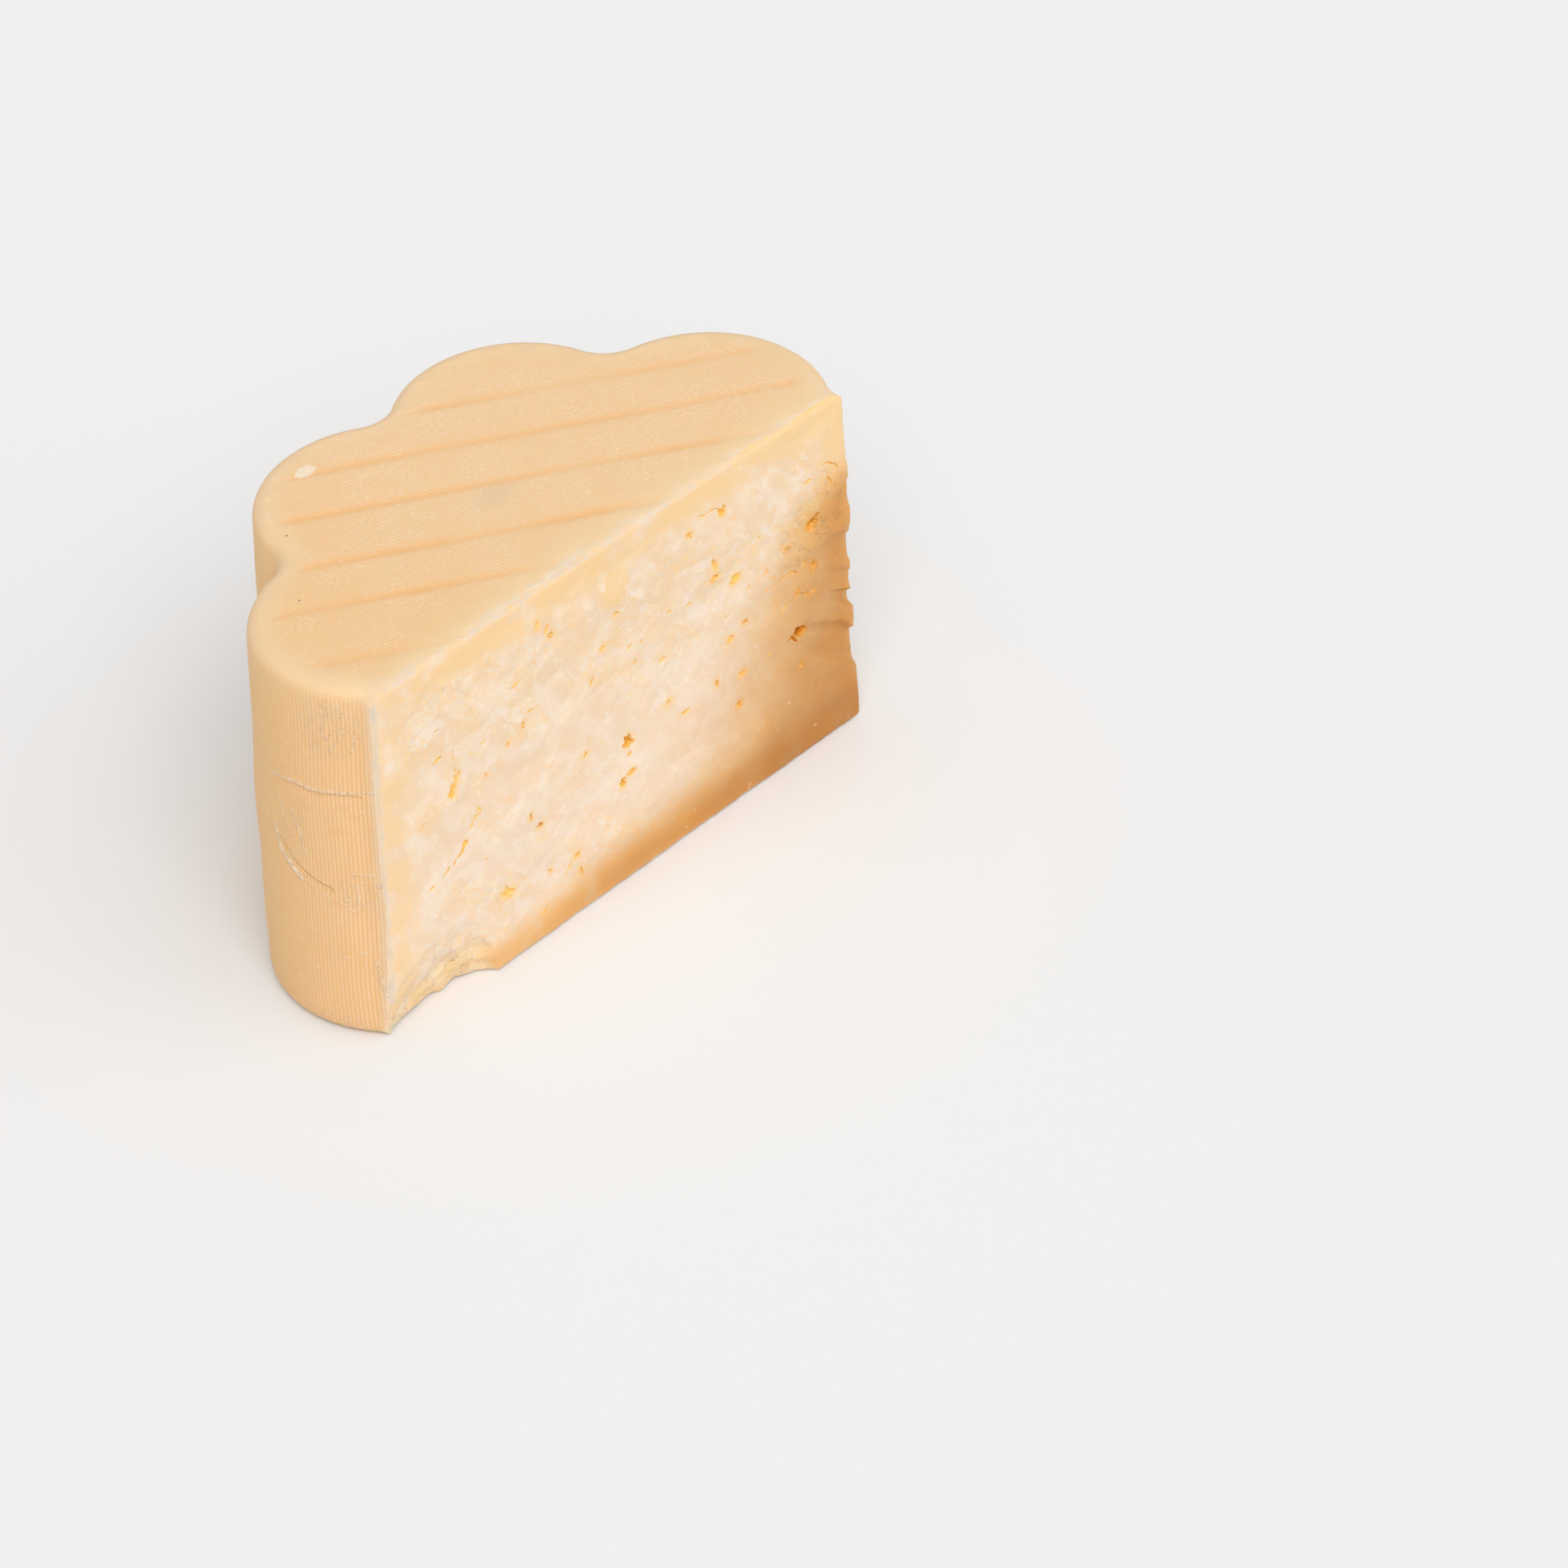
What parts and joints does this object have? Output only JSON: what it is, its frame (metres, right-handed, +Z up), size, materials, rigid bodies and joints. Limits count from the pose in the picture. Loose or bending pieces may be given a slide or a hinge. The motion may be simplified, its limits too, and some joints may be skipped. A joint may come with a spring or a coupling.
{
  "type": "half wheel of aged sheep cheese",
  "caption": "Upright half of a small hard cheese wheel with a petalled outline, flat top and base, ribbed rind and a crumbly cut face with small eyes, cracks and a chipped corner.",
  "frame": {"origin": "middle of the footprint's bounding box, on the surface that the cheese stands on", "axes": "+X along the cut, to the right as the cut face is looked at; +Y from the cut face into the cheese; +Z up"},
  "size_m": [0.1882, 0.0956, 0.1075],
  "materials": {
    "cheese": "matte, slightly waxy ivory paste with a tan, finely ribbed rind"
  },
  "bodies": {
    "root": {"cheese_half": "cheese"}
  },
  "joints": []
}
